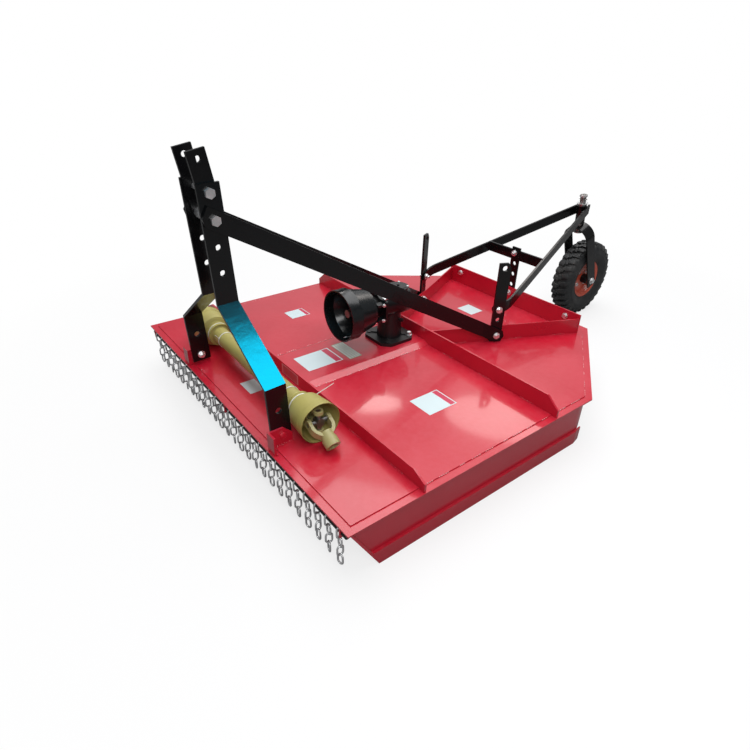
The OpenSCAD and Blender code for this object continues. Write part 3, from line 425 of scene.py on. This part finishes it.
def tyre():
    bm = bmesh.new()
    half = TYRE_HALF
    crown = TYRE_R - LUG_DEPTH
    side = [(RIM_R + 0.6, 40), (RIM_R + 4, 45), (RIM_R + 10, 45), (RIM_R + 16, 50), (RIM_R + 30, half - 2),
            (RIM_R + 46, half), (RIM_R + 50, half + 0.0), (RIM_R + 52, half - 1.5), (RIM_R + 66, half - 3),
            (crown - 16, half - 7), (crown - 7, half - 14), (crown - 1, half - 28), (crown, 6)]
    profile = side + [(r, -x) for r, x in reversed(side)]
    inner = [(RIM_R - 6, -30), (RIM_R - 6, 30)]
    verts = [bm.verts.new((mm(x), 0, mm(r))) for r, x in profile + inner]
    loop = [bm.edges.new((a, b)) for a, b in zip(verts, verts[1:] + verts[:1])]
    bmesh.ops.spin(bm, geom=verts + loop, cent=(0, 0, 0), axis=(1, 0, 0), dvec=(0, 0, 0), angle=2 * pi,
                   steps=80, use_merge=True)
    bars = 30
    for k in range(bars):
        for row in (-1, 1):
            angle = 2 * pi * (k + 0.25 * row) / bars
            turn = Matrix.Rotation(angle, 4, "X")
            tread = block(bm, Vector((0, 0, 0)), (mm(38), mm(24), mm(20)), None, mm(2.0))
            move(bm, tread, turn @ Matrix.Translation((mm(row * 25), 0, mm(TYRE_R - 12.3)))
                 @ Matrix.Rotation(row * radians(7), 4, "Y") @ Matrix.Rotation(row * radians(12), 4, "Z"))
            shoulder = block(bm, Vector((0, 0, 0)), (mm(12), mm(22), mm(26)), None, mm(2.0))
            move(bm, shoulder, turn @ Matrix.Rotation(row * -0.018, 4, "X")
                 @ Matrix.Translation((mm(row * 45.5), 0, mm(TYRE_R - 23)))
                 @ Matrix.Rotation(row * radians(-27), 4, "Y"))
        middle = block(bm, Vector((0, 0, 0)), (mm(15), mm(30), mm(18)), None, mm(1.5))
        move(bm, middle, Matrix.Rotation(2 * pi * (k + 0.5) / bars, 4, "X")
             @ Matrix.Translation((0, 0, mm(TYRE_R - 10))) @ Matrix.Rotation(radians(24 * (-1) ** k), 4, "Z"))
    move(bm, bm.verts, Matrix.Translation(WHEEL))
    obj = piece("lugged_tyre", bm, "wheel", tyre_rubber, 35)
    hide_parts("wheel_tyre")
    return obj


tyre()


def wheel_trim():
    bm = bmesh.new()
    for side in (-1, 1):
        way = (side, 0, 0)
        ring(bm, WHEEL, way, [(8.3, 18), (27, 18), (27, 56), (24, 60), (18, 61), (18, 58), (8.3, 58)], 32)
    piece("hub_sleeve", bm, "wheel", casting_black)
    bm = bmesh.new()
    for side in (-1, 1):
        for k in range(4):
            angle = pi / 4 + k * pi / 2
            place = WHEEL + Vector((mm(side * 8.6), mm(52) * sin(angle), mm(52) * cos(angle)))
            bolt(bm, place, (side, 0, 0), 8.0, 6.0, 11.0, 5.0 if side < 0 else 0.0)
    piece("rim_bolts", bm, "wheel", zinc_plate)
    bm = bmesh.new()
    start = WHEEL + Vector((mm(14), mm(78) * sin(0.9), mm(78) * cos(0.9)))
    rod(bm, start, start + Vector((mm(24), -mm(14) * sin(0.9), -mm(14) * cos(0.9))), mm(3.6), 12, mm(3.0))
    piece("valve", bm, "wheel", tyre_rubber)


wheel_trim()

# Caster: a zinc washer on the sleeve, a ring at the top of the spindle, a pin through the spindle and nuts on the
# axle's ends
LEAN = radians(6)
CASTER = at(0, 2137, 395)
CASTER_WAY = Vector((0, -sin(LEAN), cos(LEAN)))


def caster_trim():
    bm = bmesh.new()
    ring(bm, CASTER + CASTER_WAY * mm(59), CASTER_WAY, [(16.3, 0), (29, 0), (29, 4), (16.3, 4)], 32)
    ring(bm, CASTER + CASTER_WAY * mm(97), CASTER_WAY, [(16.2, 0), (20.5, 0), (20.5, 9), (16.2, 9)], 32)
    piece("caster_rings", bm, "caster", zinc_plate)
    bm = bmesh.new()
    rod(bm, CASTER + CASTER_WAY * mm(84), CASTER + CASTER_WAY * mm(84) + Vector((mm(24), 0, 0)), mm(3), 12)
    rod(bm, CASTER + CASTER_WAY * mm(84), CASTER + CASTER_WAY * mm(84) - Vector((mm(24), 0, 0)), mm(3), 12)
    piece("spindle_pin", bm, "caster", zinc_plate)
    bm = bmesh.new()
    for side in (-1, 1):
        bolt(bm, WHEEL + Vector((mm(side * 76.7), 0, 0)), (side, 0, 0), 15.0, 11.0, 20.0,
             8.0 if side < 0 else 0.0)
    piece("axle_ends", bm, "caster", zinc_plate)


caster_trim()

# Bolts of the frame, all riding on it
LEG_LEAN = radians(2.6)
DIAGONAL = atan2(432.0 - 118.0, 1620.0 - 955.0)
UPRIGHT = Vector((118.0 + (1230.0 - 955.0) * (432.0 - 118.0) / (1620.0 - 955.0), 1230.0, 0.0))


def from_upright(side, out, back, z):
    x = UPRIGHT.x + out * cos(DIAGONAL) + back * sin(DIAGONAL)
    y = UPRIGHT.y - out * sin(DIAGONAL) + back * cos(DIAGONAL)
    return at(side * x, y, z)


def leg_point(x, up):
    return at(x, 60 - up * sin(LEG_LEAN), 38 + up * cos(LEG_LEAN))


def frame_bolts():
    bm = bmesh.new()
    reds = bmesh.new()
    for side in (-1, 1):
        out = (side, 0, 0)
        inward = (-side, 0, 0)
        bolt(bm, leg_point(side * 331.4, 0), inward, 13, 10, 16, 7)
        bolt(reds, leg_point(side * 349.6, 0), out, 13, 9, 0)
        across = Vector((side * cos(DIAGONAL), -sin(DIAGONAL), 0))
        bolt(bm, from_upright(side, 20.1, 0, 32), across, 13, 9, 15.5)
        bolt(bm, from_upright(side, -6.1, 0, 32), -across, 13, 9, 15.5, 6)
        bolt(bm, from_upright(side, 10.1, 0, 156), across, 13, 9, 15.5)
        bolt(bm, from_upright(side, -10.1, 0, 156), -across, 13, 9, 16, 7)
        bolt(bm, at(side * 352, 1613.9, 61), (0, -1, 0), 13, 9, 15.5)
        bolt(bm, at(side * 352, 1620.1, 61), (0, 1, 0), 13, 9, 15.5, 6)
    bolt(bm, at(0, 1613.9, 61), (0, -1, 0), 13, 9, 15.5, 6)
    bolt(bm, at(0, 1628.1, 61), (0, 1, 0), 13, 9, 15.5)
    bolt(bm, at(0, 1609.9, 275), (0, -1, 0), 13, 9, 15.5, 6)
    bolt(bm, at(0, 1628.1, 275), (0, 1, 0), 13, 9, 15.5)
    piece("frame_bolts", bm, "frame", zinc_plate)
    piece("hitch_bolts", reds, "frame", red_paint)


frame_bolts()

# Gearbox: bolts, plugs, the bell's band and the clips on it
GEAR_X, GEAR_Y, INPUT_Z = -45.0, 838.0, 187.0
BARREL_FRONT, BARREL_BACK, BELL_L, BELL_R = 117.0, 80.0, 163.0, 109.0
CAP_X, CAP_Y, CAP_TOP = GEAR_X + 8, GEAR_Y + 34, INPUT_Z + 68.5


def gearbox_trim():
    bm = bmesh.new()
    dark = bmesh.new()
    for sx in (-1, 1):
        for sy in (-1, 1):
            raised = sx > 0 and sy > 0
            bolt(bm if raised else dark, at(GEAR_X + sx * 65, GEAR_Y + sy * 65, 28.1), (0, 0, 1), 11,
                 14 if raised else 4, 14 if raised else 0)
        for sz in (-1, 1):
            place = at(GEAR_X + sx * 82.1, GEAR_Y - BARREL_FRONT + 14, INPUT_Z + sz * 35)
            bolt(bm, place, (sx, 0, 0), 6.5, 6, 8)
    for k in range(4):
        angle = pi / 4 + k * pi / 2
        bolt(bm, at(CAP_X + 42.5 * sin(angle), CAP_Y + 42.5 * cos(angle), CAP_TOP - 1.9), (0, 0, 1), 6, 6, 0)
    block(bm, at(GEAR_X + 64, GEAR_Y - BARREL_FRONT + 33, INPUT_Z + 56), (mm(22), mm(16), mm(5)), None, mm(1))
    piece("gearbox_bolts", bm, "frame", zinc_plate)
    rod(dark, at(GEAR_X + 44, GEAR_Y + 20, 110), at(GEAR_X + 62, GEAR_Y + 28, 110), mm(9), 6)
    rod(dark, at(GEAR_X, GEAR_Y + 80, INPUT_Z), at(GEAR_X, GEAR_Y + 86, INPUT_Z), mm(46), 40, mm(42))
    rod(dark, at(GEAR_X, GEAR_Y + 86, INPUT_Z), at(GEAR_X, GEAR_Y + 92, INPUT_Z), mm(9), 6)
    piece("gearbox_plugs", dark, "frame", casting_black)
    bm = bmesh.new()
    front = at(GEAR_X, GEAR_Y - BARREL_FRONT - 0.3 - BELL_L, INPUT_Z)
    ring(bm, front, (0, 1, 0), [(BELL_R - 0.5, 0), (BELL_R + 2, 0), (BELL_R + 2, 7), (BELL_R + 0.5, 44),
                                (BELL_R + 1.5, 47), (BELL_R + 1.5, 54), (BELL_R - 2.5, 54), (BELL_R - 2.2, 46)], 64)
    ring(bm, front, (0, 1, 0), [(BELL_R - 3, 54.5), (BELL_R - 5, 60), (86, 138), (84, 146), (62, 146),
                                (62, 143), (82, 143), (84, 138), (BELL_R - 7.5, 60), (BELL_R - 6, 54.5)], 64)
    mark_done(bm)
    for k in range(3):
        angle = 0.9 + k * 2 * pi / 3
        place = front + Vector((mm(81) * sin(angle), mm(96), mm(81) * cos(angle)))
        made = block(bm, Vector((0, 0, 0)), (mm(7), mm(24), mm(5)), None, mm(1.2))
        move(bm, made, Matrix.Translation(place) @ Matrix.Rotation(angle, 4, "Y") @ Matrix.Rotation(-0.42, 4, "X"))
    piece("bell_band", bm, "frame", bell_plastic)
    bm = bmesh.new()
    loop = wire_link(78, 17, 3.0)
    place = at(GEAR_X + 30, GEAR_Y - BARREL_FRONT - BELL_L + 45, INPUT_Z - 92)
    hang(bm, loop, Matrix.Translation(place) @ Matrix.Rotation(radians(84), 4, "X") @ Matrix.Rotation(0.5, 4, "Z"))
    piece("bell_clip", bm, "frame", zinc_plate)


gearbox_trim()

# Drive shaft: ribs on the guard cones and cable ties with loose tails
PTO_Y, PTO_Z = 171.0, 76.3


def tie(bm, x, radius, angle, tail):
    centre = at(x, PTO_Y, PTO_Z)
    ring(bm, centre, (1, 0, 0), [(radius, -2.2), (radius + 1.3, -2.2), (radius + 1.3, 2.2), (radius, 2.2)], 40)
    mark_done(bm)
    place = centre + Vector((0, mm(radius) * sin(angle), mm(radius) * cos(angle)))
    block(bm, place, (mm(8), mm(7), mm(6)), Matrix.Rotation(-angle, 4, "X"), mm(0.8))
    rod(bm, place, place + Vector([mm(v) for v in tail]), mm(1.7), 8, mm(1.2))
    mark_done(bm)


def shaft_trim():
    for name, body, sign, mouth, tube in (("near", "frame", 1, 413.0, 37.0), ("far", "far_shaft", -1, -525.0, 34.4)):
        bm = bmesh.new()
        for back in (2, 30, 36):
            radius = 76.0 - 8.0 * back / 92
            ring(bm, at(mouth - sign * back, PTO_Y, PTO_Z), (sign, 0, 0),
                 [(radius - 2.0, -2), (radius + 0.5, -2), (radius + 0.5, 2), (radius - 2.0, 2)], 56)
        for back in (112, 142):
            ring(bm, at(mouth - sign * back, PTO_Y, PTO_Z), (sign, 0, 0),
                 [(45.5, -3), (49, -3), (49.5, 0), (49, 3), (45.5, 3)], 56)
        piece(name + "_cone_ribs", bm, body, guard_plastic)
        bm = bmesh.new()
        tie(bm, mouth - sign * 128, 47.1, 1.2, (12 * sign, 88, 34))
        tie(bm, mouth - sign * 205, tube + 0.1, -1.1, (-18 * sign, -22, 30))
        piece(name + "_cable_ties", bm, body, tie_nylon)


shaft_trim()


# Plates and stickers: thin, blank, with their own map
def sticker(name, corners, finish):
    bm = bmesh.new()
    verts = [bm.verts.new(c) for c in corners]
    face = bm.faces.new(verts)
    layer = bm.loops.layers.uv.new("map")
    for loop, spot in zip(face.loops, ((0, 0), (1, 0), (1, 1), (0, 1))):
        loop[layer].uv = spot
    normal = (corners[1] - corners[0]).cross(corners[3] - corners[0]).normalized()
    raised = bmesh.ops.extrude_face_region(bm, geom=[face])["geom"]
    tops = [g for g in raised if isinstance(g, bmesh.types.BMVert)]
    bmesh.ops.translate(bm, verts=tops, vec=normal * mm(0.6))
    return piece(name, bm, "frame", finish)


def flat(x0, x1, y0, y1, z):
    return [at(x0, y0, z), at(x1, y0, z), at(x1, y1, z), at(x0, y1, z)]


sticker("deck_plate_a", flat(-565, -482, 584, 684, 0.05), white_plate)
sticker("deck_plate_b", flat(-112, 14, 371, 541, 14.05), white_plate)
sticker("deck_plate_c", flat(-120, 30, 566, 628, 14.05), grid_plate)
sticker("deck_plate_d", flat(-86, 8, 110, 172, 0.05), plain_plate)
sticker("deck_plate_e", flat(405, 519, 576, 716, 0.05), white_plate)
sticker("deck_plate_f", flat(-105, -5, 1346, 1430, 0.05), plain_plate)
sticker("rib_tag", [at(-60, 287.95, 4), at(66, 287.95, 4), at(66, 287.95, 46), at(-60, 287.95, 46)], tag_plate)


def cap_label():
    bm = bmesh.new()
    top = CAP_TOP
    rod(bm, at(CAP_X, CAP_Y, top + 0.1), at(CAP_X, CAP_Y, top + 1.1), mm(34), 40)
    piece("cap_label", bm, "frame", cap_plate)
    bm = bmesh.new()
    rod(bm, at(CAP_X, CAP_Y, top + 1.2), at(CAP_X, CAP_Y, top + 8), mm(7), 16, mm(5))
    piece("breather", bm, "frame", casting_black)


cap_label()


# Weld beads where plates meet: a row of small overlapping drops
def bead(bm, start, end, radius=3.6):
    way = end - start
    count = max(2, int(way.length / mm(9)))
    for k in range(count + 1):
        made = bmesh.ops.create_icosphere(bm, subdivisions=1, radius=mm(radius))["verts"]
        wobble = 1 + 0.16 * sin(k * 2.7)
        move(bm, made, Matrix.Translation(start + way * (k / count)) @ axis_turn(way)
             @ Matrix.Diagonal((wobble, wobble, 1.9, 1)))


def dashes(bm, start, end):
    """Short thin beads with uneven gaps along a line."""
    way = end - start
    count = int(way.length / mm(70))
    for k in range(count):
        first = (k + 0.2 + 0.18 * sin(k * 4.1)) / count
        last = first + (0.4 + 0.18 * sin(k * 2.3)) / count
        bead(bm, start + way * first, start + way * last, 2.0)


def welds():
    bm = bmesh.new()
    for side in (-1, 1):
        bead(bm, at(side * 118, 956, 2), at(side * 118, 956, 68))
        bead(bm, at(side * 424, 1612, 4), at(side * 424, 1612, 68))
        bead(bm, at(side * 349, 8, 1), at(side * 349, 94, 1))
        bead(bm, at(side * 360, 15, 1), at(side * 385, 15, 1))
        for x in (200, 420, 640):
            bead(bm, at(side * x, 287, 1), at(side * (x + 60), 287, 1), 3.0)
            bead(bm, at(side * x, 946, 1), at(side * (x + 60), 946, 1), 3.0)
        for y in (1050, 1300, 1500):
            x = 118 + (y - 955) * 0.472
            bead(bm, at(side * (x + 2), y, 1), at(side * (x + 26), y + 53, 1), 3.0)
    piece("red_welds", bm, "frame", red_paint, 80)
    # Thin beads along the deck's edges and the channel, in the pale paint that is painted highlight.
    bm = bmesh.new()
    for side in (-1, 1):
        for start, end in (((782, 300), (782, 940)), ((782, 975), (782, 1162)), ((782, 1162), (436, 1652))):
            dashes(bm, at(side * start[0], start[1], -1.6), at(side * end[0], end[1], -1.6))
        dashes(bm, at(GEAR_X + side * 156, 310, 0.8), at(GEAR_X + side * 156, 930, 0.8))
    piece("edge_welds_painted_highlight", bm, "frame", weld_painted_highlight, 80)
    bm = bmesh.new()
    for side in (-1, 1):
        bead(bm, at(side * 26, 2128, 398), at(side * 26, 2124, 436), 3.0)
        bead(bm, at(side * 23, 2160, 400), at(side * 23, 2156, 438), 2.6)
        bead(bm, at(side * 172, 1609, 250), at(side * 172, 1609, 288), 3.0)
    piece("black_welds", bm, "frame", black_paint, 80)


welds()


# Studio: a pale floor, soft lamps, a world that shows white, and the camera
def lamp_at(name, place, target, size, power, colour=(1, 1, 1), gloss_only=False):
    lamp = bpy.data.lights.new(name, "AREA")
    lamp.shape = "ELLIPSE" if gloss_only else "RECTANGLE"
    lamp.size, lamp.size_y = size
    lamp.energy = power
    lamp.color = colour
    obj = bpy.data.objects.new(name, lamp)
    bpy.context.scene.collection.objects.link(obj)
    obj.location = place
    obj.rotation_euler = (Vector(target) - Vector(place)).to_track_quat("-Z", "Y").to_euler()
    if gloss_only:
        obj.visible_diffuse = False
        obj.visible_camera = False
    return obj


def mirrored(eye, spot, normal, distance):
    """The place that shows at spot in a mirror facing normal, from the eye."""
    way = (spot - eye).normalized()
    return spot + (way - 2 * way.dot(normal) * normal) * distance


EYE = at(1670, -607, 1162)


def studio():
    bm = bmesh.new()
    bmesh.ops.create_grid(bm, x_segments=1, y_segments=1, size=60)
    mesh = bpy.data.meshes.new("floor")
    bm.to_mesh(mesh)
    bm.free()
    floor = bpy.data.objects.new("floor", mesh)
    bpy.context.scene.collection.objects.link(floor)
    floor.location = (0, 0, -0.0005)
    f = Finish("floor_white")
    seen = f.node("ShaderNodeLightPath")["Is Camera Ray"]
    spot = f.node("ShaderNodeTexCoord")["Object"]
    away = f.node("ShaderNodeVectorMath", {"operation": "LENGTH"}, {0: spot})["Value"]
    share = f.step(away, 1.2, 2.6) * 0.25 + 0.75
    bright = f.node("ShaderNodeBsdfDiffuse", None, {"Color": rgb(0.85, 0.85, 0.86)})["BSDF"]
    glow = f.node("ShaderNodeEmission", None, {"Color": rgb(1, 1, 1), "Strength": 1.0})["Emission"]
    pale = f.node("ShaderNodeMixShader", None, {0: share, 1: bright, 2: glow})["Shader"]
    dark = f.node("ShaderNodeBsdfDiffuse", None, {"Color": rgb(0.28, 0.28, 0.28)})["BSDF"]
    mixed = f.node("ShaderNodeMixShader", None, {0: seen, 1: dark, 2: pale})["Shader"]
    f.node("ShaderNodeOutputMaterial", None, {"Surface": mixed})
    mesh.materials.append(f.material)

    world = bpy.data.worlds.new("studio")
    bpy.context.scene.world = world
    world.use_nodes = True
    tree = world.node_tree
    tree.nodes.clear()
    path = tree.nodes.new("ShaderNodeLightPath")
    soft = tree.nodes.new("ShaderNodeBackground")
    soft.inputs["Color"].default_value = (0.95, 0.97, 1.0, 1)
    soft.inputs["Strength"].default_value = 0.22
    white = tree.nodes.new("ShaderNodeBackground")
    white.inputs["Color"].default_value = (1, 1, 1, 1)
    white.inputs["Strength"].default_value = 1.0
    mix = tree.nodes.new("ShaderNodeMixShader")
    out = tree.nodes.new("ShaderNodeOutputWorld")
    tree.links.new(path.outputs["Is Camera Ray"], mix.inputs[0])
    tree.links.new(soft.outputs[0], mix.inputs[1])
    tree.links.new(white.outputs[0], mix.inputs[2])
    tree.links.new(mix.outputs[0], out.inputs["Surface"])

    above = lamp_at("above", (-0.2, 0.3, 4.2), (0, 0, 0), (4.6, 4.6), 210)
    lamp_at("key", (2.9, -2.4, 3.2), (0, 0, 0.3), (1.6, 1.6), 60)
    lamp_at("back", (-3.9, 3.1, 3.4), (0, 0, 0.2), (6.0, 4.5), 32)

    up = Vector((0, 0, 1))
    for name, spot, size, power in (("window_a", at(328, 450, 0), (0.5, 0.16), 1.5),
                                    ("window_b", at(680, 765, 0), (0.85, 0.34), 3.2)):
        lamp_at(name, mirrored(EYE, spot, up, 2.4), spot, size, power, (1.0, 0.93, 0.88), True)

    # A blue panel that only shows in gloss, over the slanted part of the near leg
    start = at(200, 52, 320)
    place = start + Vector((0.15, 0.36, 0.92)).normalized() * 2.2 + Vector((0.64, -0.27, 0))
    panel = lamp_at("blue_panel", place, start, (1.5, 1.3), 230, (0.0, 0.57, 0.86), True)
    only = bpy.data.collections.new("blue_lit")
    for name in ("hitch_leg_left", "input_guard"):
        only.objects.link(frame["nodes"][name])
    panel.light_linking.receiver_collection = only
    unlit = bpy.data.collections.new("not_lit_from_above")
    unlit.objects.link(frame["nodes"]["hitch_leg_left"])
    unlit.collection_objects[0].light_linking.link_state = "EXCLUDE"
    above.light_linking.receiver_collection = unlit


studio()


def camera():
    yaw, pitch, roll = radians(51.39), radians(31.27), radians(1.56)
    ahead = Vector((-sin(yaw) * cos(pitch), cos(yaw) * cos(pitch), -sin(pitch)))
    level = Vector((cos(yaw), sin(yaw), 0))
    upright = level.cross(ahead)
    right = cos(roll) * level + sin(roll) * upright
    up = -sin(roll) * level + cos(roll) * upright
    data = bpy.data.cameras.new("camera")
    data.sensor_width = 36.0
    data.sensor_fit = "HORIZONTAL"
    data.lens = 543.8 / 750 * 36.0
    obj = bpy.data.objects.new("camera", data)
    bpy.context.scene.collection.objects.link(obj)
    turn = Matrix((right, up, -ahead)).transposed()
    obj.matrix_world = Matrix.Translation(EYE) @ turn.to_4x4()
    bpy.context.scene.camera = obj


camera()
bpy.context.scene.view_settings.view_transform = "Standard"
